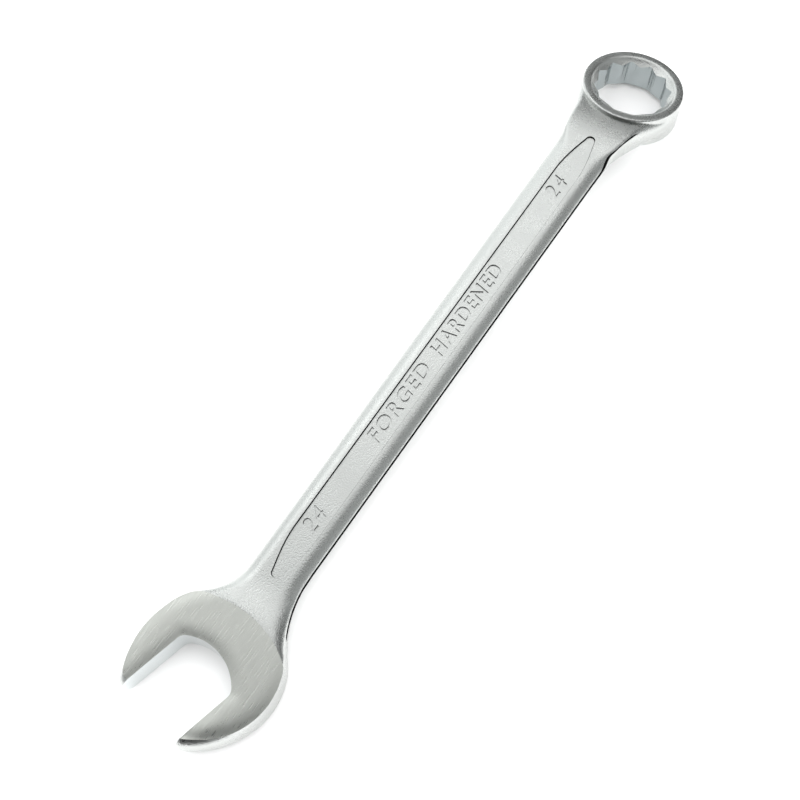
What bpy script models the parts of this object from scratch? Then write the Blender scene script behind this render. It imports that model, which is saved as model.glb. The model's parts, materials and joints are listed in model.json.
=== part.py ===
"""A combination wrench for 24 mm fasteners: an open end and a twelve-point ring on one shank.

The wrench is a single drop forging, so it is modelled as one solid. Three blanks are joined
(shank, open end, ring) and then cut as the real one is machined: the jaw gap, the
twelve-point socket and, on both faces of the shank, a recessed panel.

Everything is drawn in the forging's own frame: +X runs along the shank from the centre of
the jaws to the ring, +Z is up and z = 0 is the parting plane of the dies. An empty then lays
the forging down at rest, on its two jaw tips and the ring's far rim.
"""

import math

import bmesh
import bpy

# Driving dimensions, in metres and radians.
ACROSS_FLATS = 0.0240  # the fastener's width, at both ends
LENGTH = 0.24465  # centre of the jaws to centre of the ring

# Open end.
JAW_ANGLE = math.radians(15)  # of the mouth, off the shank's line
HEAD_THICKNESS = 0.01056
THROAT_DEPTH = 0.00395  # behind the jaws' centre
THROAT_RADIUS = 0.0170
THROAT_CORNER = 0.0035
HEAD_RADIUS = 0.0226  # where the neck's fillets leave the head
NECK_LINE_CENTRE = (-0.0165, 0.0018)  # arc in which the flat cheek ends at the neck
NECK_LINE_RADIUS = 0.03465
NECK_LINE_ENDS = ((0.0108, -0.0197), (0.0147, 0.0168))
HEAD_NECK_INSET = 0.0004  # of the neck's edges inside the head's outline
TIP_INSET = 0.0010  # by which the blank's tips run into the jaw gap
MOUTH_REACH = 0.0490  # of the jaw gap, past the tips

# Outer arc of each jaw: centre x, centre y, radius, reach of the tip, radius of its corner.
UPPER_JAW_CHEEK = (-0.00285, -0.00524, 0.02828, 0.0206, 0.0010)
UPPER_JAW_PARTING = (-0.00450, -0.00803, 0.03145, 0.0241, 0.0025)
LOWER_JAW_CHEEK = (0.0, -0.00010, 0.02240, 0.0189, 0.0030)
LOWER_JAW_PARTING = (-0.00126, 0.00385, 0.02640, 0.0227, 0.0025)
# Height as a share of the half thickness, and how far the outline has grown to its parting line.
JAW_LEVELS = ((-1.0, 0.0), (-0.6, 0.8), (0.0, 1.0), (0.6, 0.8), (1.0, 0.0))

# Shank.
SHANK_HALF_THICKNESS = 0.0033
SHANK_HALF_WIDTH = 0.00905  # next to the open end
SHANK_HALF_WIDTH_AT_RING = 0.0096
CROWN_HALF_WIDTH = 0.0048  # the flat that holds the panel
EDGE_HALF_HEIGHT = 0.0009
HEAD_CROWN_SHARE = 0.95  # of the half width that is flat, and of the half height that is upright
HEAD_EDGE_SHARE = 0.85
RING_CROWN_SHARE = 0.75
RING_EDGE_SHARE = 0.30
FLANK_POWER = 1.5  # 1 is a straight flank, 2 an elliptical one
FLANK_POINTS = 5
FILLET_UPPER = 0.0193
FILLET_LOWER = 0.0396
NECK_HALF_THICKNESS = 0.0050  # under the cheek's edge
NECK_START = 0.0170
NECK_END = 0.0320

# Ring.
RING_ANGLE = math.radians(15)
RING_DROP = 0.00681  # of its centre, below the parting plane
RING_RADIUS = 0.01787
RING_THICKNESS = 0.0119
RING_EDGE = 0.0006
LEAD_IN_RADIUS = 0.0147
BORE_BLANK_RADIUS = 0.0121  # before the twelve points are broached
POINTS = 12
RING_NECK_START = 0.2050
RING_NECK_END = 0.2380
RING_FLARE_START = 0.2120
RING_FLARE_POWER = 1.5
RING_NECK_DEEP = 0.2290  # where the neck's underside has come down to the ring's
RING_NECK_INSET = 0.00035  # of the neck's faces below the ring's

# Panel.
PANEL_HALF_WIDTH = 0.0042
PANEL_OFFSET = -0.0003  # the dies' small mismatch
PANEL_END_RADIUS = 0.0016
PANEL_TAPER = 0.0175
PANEL_DEPTH = 0.0006
PANEL_START = 0.0320
PANEL_END_TOP = 0.2178
PANEL_END_UNDER = 0.2045

CLEAR = 0.020  # by which a cutter runs past what it cuts
WELD = 0.000001
SHARP = math.radians(35)
SATIN_GREY = (0.62, 0.63, 0.62, 1)
SATIN_ROUGHNESS = 0.32
MOST_TILT = math.radians(10)  # of the wrench at rest
TILT_HALVINGS = 40

# Straight steps in which each arc is drawn.
JAW_STEPS = 14
TIP_CORNER_STEPS = 4
NECK_LINE_STEPS = 8
THROAT_STEPS = 14
THROAT_CORNER_STEPS = 5
PANEL_END_STEPS = 6
RING_STEPS = 60

SHANK_STATIONS = (
    0.0120, 0.0145, 0.0170, 0.0195, 0.0220, 0.0245, 0.0270, 0.0295, 0.0320, 0.0370,
    0.0800, 0.1400, 0.2050, 0.2090, 0.2130, 0.2165, 0.2200, 0.2235, 0.2270, 0.2305,
    0.2340, 0.2380,
)


def clear_scene():
    for thing in list(bpy.data.objects):
        bpy.data.objects.remove(thing)


def new_collection(name):
    made = bpy.data.collections.new(name)
    bpy.context.scene.collection.children.link(made)
    return made


def object_of(name, made, collection):
    """An object of a bmesh, with its round faces smooth and its corners sharp."""
    bmesh.ops.recalc_face_normals(made, faces=made.faces)
    mesh = bpy.data.meshes.new(name)
    made.to_mesh(mesh)
    made.free()
    mesh.shade_smooth()
    mesh.set_sharp_from_angle(angle=SHARP)
    thing = bpy.data.objects.new(name, mesh)
    collection.objects.link(thing)
    return thing


def make_helper(thing, frame):
    """Blanks and cutters are read by the Booleans and aren't part of the object."""
    thing.hide_render = True
    thing.display_type = "WIRE"
    thing.parent = frame


def loft(name, rings, collection):
    """A closed solid through rings of equally many points, with a cap on each end."""
    made = bmesh.new()
    rows = [[made.verts.new(point) for point in ring] for ring in rings]
    for row, following in zip(rows, rows[1:]):
        for i in range(len(row)):
            j = (i + 1) % len(row)
            made.faces.new((row[i], row[j], following[j], following[i]))
    made.faces.new(rows[0])
    made.faces.new(rows[-1])
    return object_of(name, made, collection)


def plate(name, outline, thickness, collection):
    """A flat outline extruded to both sides of its plane and made a closed mesh."""
    curve = bpy.data.curves.new(name, "CURVE")
    curve.dimensions = "2D"
    curve.fill_mode = "BOTH"
    curve.extrude = thickness / 2
    spline = curve.splines.new("POLY")
    spline.points.add(len(outline) - 1)
    for point, (x, y) in zip(spline.points, outline):
        point.co = (x, y, 0, 1)
    spline.use_cyclic_u = True
    guide = bpy.data.objects.new(name + "_outline", curve)
    collection.objects.link(guide)
    bpy.context.view_layer.update()
    graph = bpy.context.evaluated_depsgraph_get()
    filled = bpy.data.meshes.new_from_object(guide.evaluated_get(graph))
    made = bmesh.new()
    made.from_mesh(filled)
    bmesh.ops.remove_doubles(made, verts=made.verts, dist=WELD)
    thing = object_of(name, made, collection)
    thing.matrix_world = guide.matrix_world
    bpy.data.objects.remove(guide)
    return thing


def arc(centre, radius, start, end, steps):
    """Points along an arc, both ends included."""
    angles = [start + (end - start) * i / steps for i in range(steps + 1)]
    return [(centre[0] + radius * math.cos(a), centre[1] + radius * math.sin(a)) for a in angles]


def bearing(centre, point):
    return math.atan2(point[1] - centre[1], point[0] - centre[0])


def from_jaw(u, v):
    """Plan position of a point given along the mouth's direction (u) and across it (v)."""
    c, s = math.cos(JAW_ANGLE), math.sin(JAW_ANGLE)
    return (-u * c + v * s, u * s + v * c)


def to_jaw(x, y):
    c, s = math.cos(JAW_ANGLE), math.sin(JAW_ANGLE)
    return (-x * c + y * s, x * s + y * c)


def smooth(t):
    t = min(max(t, 0.0), 1.0)
    return t * t * (3 - 2 * t)


def jaw_side(start, jaw, side):
    """The outer arc of one jaw, from its neck end to the tip's inner corner."""
    x, y, radius, reach, corner = jaw
    cu, cv = to_jaw(x, y)
    rise = math.sqrt((radius - corner) ** 2 - (reach - corner - cu) ** 2)
    corner_centre = (reach - corner, cv + side * rise)
    touch = bearing((cu, cv), corner_centre)
    begin = bearing((cu, cv), to_jaw(*start))
    points = arc((cu, cv), radius, begin, touch, JAW_STEPS)
    points += arc(corner_centre, corner, touch, 0.0, TIP_CORNER_STEPS)[1:]
    points.append((reach, side * (ACROSS_FLATS / 2 - TIP_INSET)))
    return [from_jaw(u, v) for u, v in points]


def head_outline(upper, lower):
    """The open end in plan: up the neck line, out along the upper jaw, back along the lower."""
    low, high = (bearing(NECK_LINE_CENTRE, end) for end in NECK_LINE_ENDS)
    neck = arc(NECK_LINE_CENTRE, NECK_LINE_RADIUS, low, high, NECK_LINE_STEPS)
    upper_side = jaw_side(neck[-1], upper, 1)
    lower_side = jaw_side(neck[0], lower, -1)
    return neck[:-1] + upper_side + lower_side[:0:-1]


def open_end_blank(collection):
    """The head, whose outline swells from each flat cheek to the parting plane."""
    cheek = head_outline(UPPER_JAW_CHEEK, LOWER_JAW_CHEEK)
    parting = head_outline(UPPER_JAW_PARTING, LOWER_JAW_PARTING)
    rings = []
    for level, grown in JAW_LEVELS:
        z = level * HEAD_THICKNESS / 2
        pairs = zip(cheek, parting)
        rings.append([(a + (c - a) * grown, b + (d - b) * grown, z) for (a, b), (c, d) in pairs])
    return loft("open_end_blank", rings, collection)


def ring_plane_height(x, side):
    """Height at x of the ring's upper (side 1) or lower (side -1) face, on the centre line."""
    face_x = LENGTH + side * RING_THICKNESS / 2 * math.sin(RING_ANGLE)
    face_z = -RING_DROP + side * RING_THICKNESS / 2 * math.cos(RING_ANGLE)
    return face_z - (x - face_x) * math.tan(RING_ANGLE)


def edge_y(x, side):
    """Half width of the forging at x, on its +Y (side 1) or -Y (side -1) edge."""
    along = (x - NECK_END) / (RING_FLARE_START - NECK_END)
    straight = SHANK_HALF_WIDTH + (SHANK_HALF_WIDTH_AT_RING - SHANK_HALF_WIDTH) * min(max(along, 0), 1)
    fillet = FILLET_UPPER if side > 0 else FILLET_LOWER
    centre_x = math.sqrt((HEAD_RADIUS + fillet) ** 2 - (straight + fillet) ** 2)
    touch_x = centre_x * HEAD_RADIUS / (HEAD_RADIUS + fillet)
    if x < touch_x:
        return math.sqrt(HEAD_RADIUS**2 - x**2) - HEAD_NECK_INSET
    if x < centre_x:
        return straight + fillet - math.sqrt(fillet**2 - (centre_x - x) ** 2)
    if x > RING_FLARE_START:
        flare = (x - RING_FLARE_START) / (RING_NECK_END - RING_FLARE_START)
        widest = math.sqrt(RING_RADIUS**2 - (LENGTH - RING_NECK_END) ** 2) - RING_NECK_INSET
        return straight + (widest - straight) * flare**RING_FLARE_POWER
    return straight


def heights(x):
    """Lowest and highest z of the forging at x."""
    neck = 1 - smooth((x - NECK_START) / (NECK_END - NECK_START))
    top = SHANK_HALF_THICKNESS + (NECK_HALF_THICKNESS - SHANK_HALF_THICKNESS) * neck
    bottom = -top
    blend = smooth((x - RING_NECK_START) / (RING_NECK_DEEP - RING_NECK_START))
    top = min(top, ring_plane_height(x, 1) - RING_NECK_INSET)
    return bottom + (ring_plane_height(x, -1) + RING_NECK_INSET - bottom) * blend, top


def shank_section(x):
    """One section of the forging: a flat crown, curved flanks and a low upright edge."""
    low, high = heights(x)
    middle, half = (low + high) / 2, (high - low) / 2
    at_head = 1 - smooth((x - NECK_START) / (NECK_END - NECK_START))
    at_ring = smooth((x - RING_NECK_START) / (RING_NECK_END - RING_NECK_START))
    edge = EDGE_HALF_HEIGHT * (1 - at_head - at_ring)
    edge += half * (HEAD_EDGE_SHARE * at_head + RING_EDGE_SHARE * at_ring)
    points = []
    for side, up in ((1, 1), (-1, 1), (-1, -1), (1, -1)):
        width = edge_y(x, side)
        crown = CROWN_HALF_WIDTH * (1 - at_head - at_ring)
        crown += width * (HEAD_CROWN_SHARE * at_head + RING_CROWN_SHARE * at_ring)
        quarter = []
        for i in range(FLANK_POINTS + 1):
            turn = math.pi / 2 * i / FLANK_POINTS
            across = max(math.cos(turn), 0.0) ** (2 / FLANK_POWER)
            upward = math.sin(turn) ** (2 / FLANK_POWER)
            y = side * (crown + (width - crown) * across)
            quarter.append((x, y, middle + up * (edge + (half - edge) * upward)))
        points += quarter if side * up > 0 else quarter[::-1]
    return points


def ring_blank(collection):
    """The ring, turned about its own axis with a lead-in cone at each mouth."""
    half = RING_THICKNESS / 2
    cone = LEAD_IN_RADIUS - BORE_BLANK_RADIUS
    round_off = RING_EDGE * (1 - math.sqrt(0.5))
    upper = [
        (BORE_BLANK_RADIUS, half - cone),
        (LEAD_IN_RADIUS, half),
        (RING_RADIUS - RING_EDGE, half),
        (RING_RADIUS - round_off, half - round_off),
        (RING_RADIUS, half - RING_EDGE),
    ]
    profile = upper + [(r, -z) for r, z in upper[::-1]]
    mesh = bpy.data.meshes.new("ring_blank")
    edges = [(i, (i + 1) % len(profile)) for i in range(len(profile))]
    mesh.from_pydata([(r, 0, z) for r, z in profile], edges, [])
    thing = bpy.data.objects.new("ring_blank", mesh)
    collection.objects.link(thing)
    turned = thing.modifiers.new("turned", "SCREW")
    turned.steps = RING_STEPS
    turned.render_steps = RING_STEPS
    turned.use_merge_vertices = True
    turned.merge_threshold = WELD
    return thing


def on_ring_axis(thing):
    thing.location = (LENGTH, 0, -RING_DROP)
    thing.rotation_euler = (0, RING_ANGLE, 0)


def jaw_gap(collection):
    """The gap between the jaws: two flats, and a throat arc that rounded corners join."""
    half = ACROSS_FLATS / 2
    centre = (THROAT_RADIUS - THROAT_DEPTH, 0.0)
    reach = THROAT_RADIUS - THROAT_CORNER
    corner_u = centre[0] - math.sqrt(reach**2 - (half - THROAT_CORNER) ** 2)
    upper = (corner_u, half - THROAT_CORNER)
    lower = (corner_u, THROAT_CORNER - half)
    touch = bearing(centre, upper)
    outline = [(MOUTH_REACH, half)]
    outline += arc(upper, THROAT_CORNER, math.pi / 2, touch, THROAT_CORNER_STEPS)
    outline += arc(centre, THROAT_RADIUS, touch, 2 * math.pi - touch, THROAT_STEPS)[1:-1]
    outline += arc(lower, THROAT_CORNER, 2 * math.pi - touch, 1.5 * math.pi, THROAT_CORNER_STEPS)
    outline += [(MOUTH_REACH, -half)]
    plan = [from_jaw(u, v) for u, v in outline]
    return plate("jaw_gap", plan, HEAD_THICKNESS + CLEAR, collection)


def twelve_point_socket(collection):
    """Two hexagons across the same flats, a twelfth of a turn apart."""
    groove = ACROSS_FLATS / 2 / math.cos(2 * math.pi / POINTS)
    ridge = ACROSS_FLATS / 2 / math.cos(math.pi / POINTS)
    outline = []
    for i in range(2 * POINTS):
        radius = groove if i % 2 == 0 else ridge
        turn = math.pi / POINTS * i
        outline.append((radius * math.cos(turn), radius * math.sin(turn)))
    return plate("twelve_point_socket", outline, RING_THICKNESS + CLEAR, collection)


def panel_recess(name, side, end, collection):
    """The shallow panel on one face: parallel sides that taper to a narrow round at each end."""
    nose = PANEL_END_RADIUS
    outline = arc((PANEL_START + nose, 0), nose, 1.5 * math.pi, 0.5 * math.pi, PANEL_END_STEPS)
    outline += [(PANEL_START + PANEL_TAPER, PANEL_HALF_WIDTH), (end - PANEL_TAPER, PANEL_HALF_WIDTH)]
    outline += arc((end - nose, 0), nose, 0.5 * math.pi, -0.5 * math.pi, PANEL_END_STEPS)
    outline += [(end - PANEL_TAPER, -PANEL_HALF_WIDTH), (PANEL_START + PANEL_TAPER, -PANEL_HALF_WIDTH)]
    thing = plate(name, outline, CLEAR, collection)
    thing.location = (0, PANEL_OFFSET, side * (SHANK_HALF_THICKNESS - PANEL_DEPTH + CLEAR / 2))
    return thing


def add_boolean(thing, other, operation):
    modifier = thing.modifiers.new(other.name, "BOOLEAN")
    modifier.object = other
    modifier.operation = operation
    modifier.solver = "EXACT"


def satin_chrome():
    """Chrome plate over a blasted forging: a neutral grey metal with a soft sheen."""
    material = bpy.data.materials.new("satin_chrome")
    material.use_nodes = True
    shader = material.node_tree.nodes["Principled BSDF"]
    shader.inputs["Base Color"].default_value = SATIN_GREY
    shader.inputs["Metallic"].default_value = 1.0
    shader.inputs["Roughness"].default_value = SATIN_ROUGHNESS
    material.diffuse_color = SATIN_GREY
    return material


def world_points(thing):
    bpy.context.view_layer.update()
    evaluated = thing.evaluated_get(bpy.context.evaluated_depsgraph_get())
    return [evaluated.matrix_world @ vertex.co for vertex in evaluated.data.vertices]


def resting_tilt(points):
    """The turn about Y at which the open end and the ring reach the same lowest height."""
    head = [point for point in points if point.x < LENGTH / 2]
    ring = [point for point in points if point.x > LENGTH / 2]
    low, high = 0.0, MOST_TILT
    for _ in range(TILT_HALVINGS):
        turn = (low + high) / 2
        lowest = [min(p.x * math.sin(turn) + p.z * math.cos(turn) for p in end) for end in (head, ring)]
        low, high = (turn, high) if lowest[1] < lowest[0] else (low, turn)
    return turn


def lay_down(frame, wrench):
    """Turns and moves the frame so that the wrench rests with its box's bottom centre at zero."""
    frame.rotation_euler = (0, -resting_tilt(world_points(wrench)), 0)
    points = world_points(wrench)
    lowest = [min(p[axis] for p in points) for axis in range(3)]
    highest = [max(p[axis] for p in points) for axis in range(3)]
    frame.location = (
        -(lowest[0] + highest[0]) / 2,
        -(lowest[1] + highest[1]) / 2,
        -lowest[2],
    )


def main():
    clear_scene()
    product = new_collection("combination_wrench")
    helpers = new_collection("blanks_and_cutters")
    frame = bpy.data.objects.new("resting_pose", None)
    product.objects.link(frame)

    wrench = loft("combination_wrench", [shank_section(x) for x in SHANK_STATIONS], product)
    wrench.parent = frame
    wrench.data.materials.append(satin_chrome())

    head = open_end_blank(helpers)
    ring = ring_blank(helpers)
    gap = jaw_gap(helpers)
    socket = twelve_point_socket(helpers)
    upper_panel = panel_recess("upper_panel", 1, PANEL_END_TOP, helpers)
    under_panel = panel_recess("under_panel", -1, PANEL_END_UNDER, helpers)
    for helper in (head, ring, gap, socket, upper_panel, under_panel):
        make_helper(helper, frame)
    on_ring_axis(ring)
    on_ring_axis(socket)
    for blank in (head, ring):
        add_boolean(wrench, blank, "UNION")
    for cutter in (gap, socket, upper_panel, under_panel):
        add_boolean(wrench, cutter, "DIFFERENCE")
    lay_down(frame, wrench)


main()
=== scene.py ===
# %% [markdown]
# # A combination wrench, made the way the real one is made
# A combination wrench has an open jaw at one end and a ring at the other. It is a single piece of chrome
# vanadium steel. A hot bar is squeezed between two dies, which leaves a soft, rounded blank. Then a few places
# are machined: the two cheeks of the open end are ground flat, the jaw gap is milled, the ring is faced and its
# twelve points are broached, and the size is stamped. Chrome plating covers all of it.
# The model follows that order. First comes a soft blank, then crisp cuts, then the finishes.
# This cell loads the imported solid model, which says where everything is.

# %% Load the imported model
import json
import math

import bmesh
import bpy
import numpy as np
from mathutils import Matrix, Vector


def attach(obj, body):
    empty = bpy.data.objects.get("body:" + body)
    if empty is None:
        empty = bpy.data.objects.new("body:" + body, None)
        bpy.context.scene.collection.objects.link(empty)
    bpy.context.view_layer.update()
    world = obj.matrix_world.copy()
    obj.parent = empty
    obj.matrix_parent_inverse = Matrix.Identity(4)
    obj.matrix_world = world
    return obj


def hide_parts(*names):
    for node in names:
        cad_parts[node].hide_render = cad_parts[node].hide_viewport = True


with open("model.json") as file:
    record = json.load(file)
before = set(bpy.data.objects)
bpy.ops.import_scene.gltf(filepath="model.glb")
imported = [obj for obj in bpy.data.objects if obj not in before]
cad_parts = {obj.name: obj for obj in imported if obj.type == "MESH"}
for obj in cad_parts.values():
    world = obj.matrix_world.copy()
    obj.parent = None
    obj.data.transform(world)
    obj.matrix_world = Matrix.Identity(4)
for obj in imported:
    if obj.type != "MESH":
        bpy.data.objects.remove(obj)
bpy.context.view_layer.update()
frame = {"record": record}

mounts = {mount["name"]: mount for mount in frame["record"]["mounts"]}

# %% [markdown]
# ## A drawing in millimetres
# A wrench is drawn flat, with the parting plane of the dies at z = 0, but it doesn't lie flat: it rests on its
# two jaw tips and on the far rim of the ring. So everything is built in the drawing's own frame, in millimetres,
# and one matrix puts the finished mesh where the solid model lies. The solid model's mounts give that matrix:
# the cheek's direction gives the tilt, and the two jaw flats give the centre of the jaws.

# %% From the drawing to where the wrench lies
JAW_ANGLE = math.radians(15)
FLAT_MIDDLE = 0.011  # metres from the jaws' centre to the middle of each flat, along the mouth

cheek_axis = Vector(mounts["open_end_cheek"]["axis"])
tilt = math.asin(-cheek_axis.x)
turn = Matrix.Rotation(-tilt, 4, "Y")
mouth = turn @ Vector((-math.cos(JAW_ANGLE), math.sin(JAW_ANGLE), 0))
flats = [Vector(mounts[name]["pos_m"]) for name in ("jaw_flat_upper", "jaw_flat_lower")]
jaw_centre = (flats[0] + flats[1]) / 2 - mouth * FLAT_MIDDLE
TO_ROW = Matrix.Translation(jaw_centre) @ turn @ Matrix.Scale(0.001, 4)
print("tilt", round(math.degrees(tilt), 3), "degrees; jaws' centre", [round(c, 5) for c in jaw_centre])

# %% [markdown]
# ## Helpers for shapes
# A loft joins rows of points into a closed skin. It suits the blank, whose section changes from place to place.
# The cutters are lofts too, or flat outlines with a thickness. Each cutter carries the finish that its real tool
# leaves, or painted shade, because a Boolean can hand the cutter's material on to the faces that it cuts.

# %% Lofts, arcs and smooth curves through a table
def mesh_object(name, made, material=None):
    """An object of a bmesh, with its normals outwards."""
    bmesh.ops.recalc_face_normals(made, faces=made.faces)
    mesh = bpy.data.meshes.new(name)
    made.to_mesh(mesh)
    made.free()
    thing = bpy.data.objects.new(name, mesh)
    bpy.context.scene.collection.objects.link(thing)
    if material:
        mesh.materials.append(material)
    return thing


def loft(name, rings, material=None):
    """A closed skin through rings of equally many points, capped at both ends."""
    made = bmesh.new()
    rows = [[made.verts.new(point) for point in ring] for ring in rings]
    for row, following in zip(rows, rows[1:]):
        for i in range(len(row)):
            j = (i + 1) % len(row)
            made.faces.new((row[i], row[j], following[j], following[i]))
    made.faces.new(rows[0])
    made.faces.new(rows[-1])
    return mesh_object(name, made, material)


def prism(name, outline, low, high, material):
    return loft(name, [[(x, y, z) for x, y in outline] for z in (low, high)], material)


def arc(centre, radius, start, end, steps):
    angles = np.linspace(start, end, steps + 1)
    return [(centre[0] + radius * math.cos(a), centre[1] + radius * math.sin(a)) for a in angles]


def bearing(centre, point):
    return math.atan2(point[1] - centre[1], point[0] - centre[0])


def ease(t):
    """0 below 0, 1 above 1, and a smooth rise between."""
    t = min(max(t, 0.0), 1.0)
    return t * t * (3 - 2 * t)


def follow(table, x):
    """The value at x on a smooth curve through a table of (x, value), which never swings past its points."""
    xs, values = (np.array(column, float) for column in zip(*table))
    if x <= xs[0] or x >= xs[-1]:
        return float(values[0] if x <= xs[0] else values[-1])
    rates = np.diff(values) / np.diff(xs)
    slopes = np.zeros(len(xs))
    for k in range(1, len(xs) - 1):
        if rates[k - 1] * rates[k] > 0:
            slopes[k] = 2 * rates[k - 1] * rates[k] / (rates[k - 1] + rates[k])
    i = int(np.searchsorted(xs, x) - 1)
    step = xs[i + 1] - xs[i]
    t = (x - xs[i]) / step
    rise = (2 * t**3 - 3 * t**2 + 1, 3 * t**2 - 2 * t**3)
    bend = (t**3 - 2 * t**2 + t, t**3 - t**2)
    return float(
        rise[0] * values[i] + rise[1] * values[i + 1]
        + step * (bend[0] * slopes[i] + bend[1] * slopes[i + 1])
    )


# %% [markdown]
# ## The finishes
# All of the steel is plated with decorative chrome: a hard, neutral metal, very slightly blue. What the eye tells
# apart is the surface under the plating. The blank was blasted with fine grit, which gives a soft satin sheen with
# a fine grain. The cheeks were ground on a belt, which leaves straight scratches along the wrench. The cutters
# leave fine lines in the jaw gap and the bore. One helper adds a node with its settings and links, and colours are
# given as sRGB hex values, which one function turns into the linear values that the renderer uses.

# %% Node and colour helpers
def linear(hex_colour):
    """Linear RGBA of an sRGB hex colour."""
    channels = [int(hex_colour[i : i + 2], 16) / 255 for i in (1, 3, 5)]
    return (*[c / 12.92 if c <= 0.04045 else ((c + 0.055) / 1.055) ** 2.4 for c in channels], 1.0)


def add_node(tree, kind, inputs=None, **settings):
    """A node of that kind with its settings. An input is a value, or an output socket to link from."""
    node = tree.nodes.new(kind)
    for name, value in settings.items():
        setattr(node, name, value)
    for name, value in (inputs or {}).items():
        if isinstance(value, bpy.types.NodeSocket):
            tree.links.new(value, node.inputs[name])
        else:
            node.inputs[name].default_value = value
    return node


def new_material(name):
    material = bpy.data.materials.new(name)
    material.use_nodes = True
    tree = material.node_tree
    return material, tree, tree.nodes["Principled BSDF"]


# %% [markdown]
# ### Blasted satin chrome
# Fine grit leaves pits of about a tenth of a millimetre. That is finer than a picture of the whole wrench can
# show, so the grain is drawn at 0.45 mm. It goes into the roughness and the bump. A slow variation over nine
# millimetres stands for the waviness of a forged skin.

# %% The forged, blasted and plated skin
MM = 0.001
BLAST_GRAIN = 0.45 * MM
BLAST_HEIGHT = 0.10 * MM
SKIN_WAVES = 9 * MM


def blasted_satin_chrome():
    material, tree, shader = new_material("blasted_satin_chrome")
    place = add_node(tree, "ShaderNodeTexCoord").outputs["Object"]
    grain = add_node(tree, "ShaderNodeTexNoise", {"Vector": place, "Scale": 1 / BLAST_GRAIN, "Detail": 2.0})
    waves = add_node(tree, "ShaderNodeTexNoise", {"Vector": place, "Scale": 1 / SKIN_WAVES, "Detail": 3.0})
    both = add_node(tree, "ShaderNodeMath", {0: grain.outputs["Fac"], 1: waves.outputs["Fac"]}, operation="ADD")
    rough = add_node(
        tree, "ShaderNodeMapRange",
        {"Value": both.outputs[0], "From Min": 0.6, "From Max": 1.4, "To Min": 0.22, "To Max": 0.36},
    )
    bump = add_node(
        tree, "ShaderNodeBump", {"Height": grain.outputs["Fac"], "Strength": 1.0, "Distance": BLAST_HEIGHT}
    )
    tree.links.new(rough.outputs["Result"], shader.inputs["Roughness"])
    tree.links.new(bump.outputs["Normal"], shader.inputs["Normal"])
    shader.inputs["Base Color"].default_value = linear("#C8CAC8")
    shader.inputs["Metallic"].default_value = 1.0
    return material


# %% [markdown]
# ### Belt-ground chrome
# A grinding belt runs along the wrench, so the cheeks have straight scratches a few millimetres long. The real
# ones are about a tenth of a millimetre apart. They are drawn at 0.35 mm, or they wouldn't show. A noise pattern
# that is stretched along X gives them.

# %% The ground cheeks
SCRATCH_LENGTH = 6 * MM
SCRATCH_SPACING = 0.35 * MM
SCRATCH_HEIGHT = 0.05 * MM


def ground_chrome():
    material, tree, shader = new_material("belt_ground_chrome")
    place = add_node(tree, "ShaderNodeTexCoord").outputs["Object"]
    stretch = add_node(
        tree, "ShaderNodeMapping",
        {"Vector": place, "Scale": (1 / SCRATCH_LENGTH, 1 / SCRATCH_SPACING, 1 / SCRATCH_SPACING)},
    )
    scratches = add_node(
        tree, "ShaderNodeTexNoise", {"Vector": stretch.outputs["Vector"], "Scale": 1.0, "Detail": 3.0}
    )
    rough = add_node(
        tree, "ShaderNodeMapRange",
        {"Value": scratches.outputs["Fac"], "From Min": 0.3, "From Max": 0.7, "To Min": 0.24, "To Max": 0.44},
    )
    bump = add_node(
        tree, "ShaderNodeBump", {"Height": scratches.outputs["Fac"], "Strength": 1.0, "Distance": SCRATCH_HEIGHT}
    )
    tree.links.new(rough.outputs["Result"], shader.inputs["Roughness"])
    tree.links.new(bump.outputs["Normal"], shader.inputs["Normal"])
    shader.inputs["Base Color"].default_value = linear("#C6C8C3")
    shader.inputs["Metallic"].default_value = 1.0
    return material


# %% [markdown]
# ### Machined chrome
# The milled jaw gap and the broached points were cut, not blasted, so they are smoother. Their colours are two
# copies of one machined chrome: the jaw gap's lighter one is a painted reflection of the white table, and the bore's
# darker one is painted shade. A cutter leaves lines along its own way: upright in the jaw gap, and along the ring's
# tilted axis in the bore. A noise that is turned onto that axis and stretched along it gives them.

# %% The milled and broached faces
LINE_SPACING = 0.6 * MM
LINE_LENGTH = 15 * MM
MILL_LINE_HEIGHT = 0.02 * MM
BROACH_LINE_HEIGHT = 0.25 * MM
RING_ANGLE = math.radians(15)
BORE_LEAN = RING_ANGLE - tilt  # between the bore's axis and upright, as the wrench lies


def machined_chrome(name, colour, lean, line_height):
    material, tree, shader = new_material(name)
    place = add_node(tree, "ShaderNodeTexCoord").outputs["Object"]
    upright = add_node(tree, "ShaderNodeVectorRotate", {"Vector": place, "Angle": -lean}, rotation_type="Y_AXIS")
    stretch = add_node(
        tree, "ShaderNodeMapping",
        {"Vector": upright.outputs["Vector"], "Scale": (1 / LINE_SPACING, 1 / LINE_SPACING, 1 / LINE_LENGTH)},
    )
    lines = add_node(tree, "ShaderNodeTexNoise", {"Vector": stretch.outputs["Vector"], "Scale": 1.0, "Detail": 2.0})
    rough = add_node(
        tree, "ShaderNodeMapRange",
        {"Value": lines.outputs["Fac"], "From Min": 0.3, "From Max": 0.7, "To Min": 0.08, "To Max": 0.18},
    )
    bump = add_node(
        tree, "ShaderNodeBump", {"Height": lines.outputs["Fac"], "Strength": 1.0, "Distance": line_height}
    )
    tree.links.new(rough.outputs["Result"], shader.inputs["Roughness"])
    tree.links.new(bump.outputs["Normal"], shader.inputs["Normal"])
    shader.inputs["Base Color"].default_value = linear(colour)
    shader.inputs["Metallic"].default_value = 1.0
    return material


# %% [markdown]
# ### Painted shade
# A near-black, rough metal is painted into a narrow line along both edges of the shank and onto the steep walls of
# the panels and the stamps. It is painted shade and dark reflection, not a finish of the steel. That is why each of
# them looks as if it were drawn with a pen.

# %% Painted shade: a near-black, rough metal
GRAIN_OF_PAINTED_SHADE = 0.3 * MM


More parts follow.
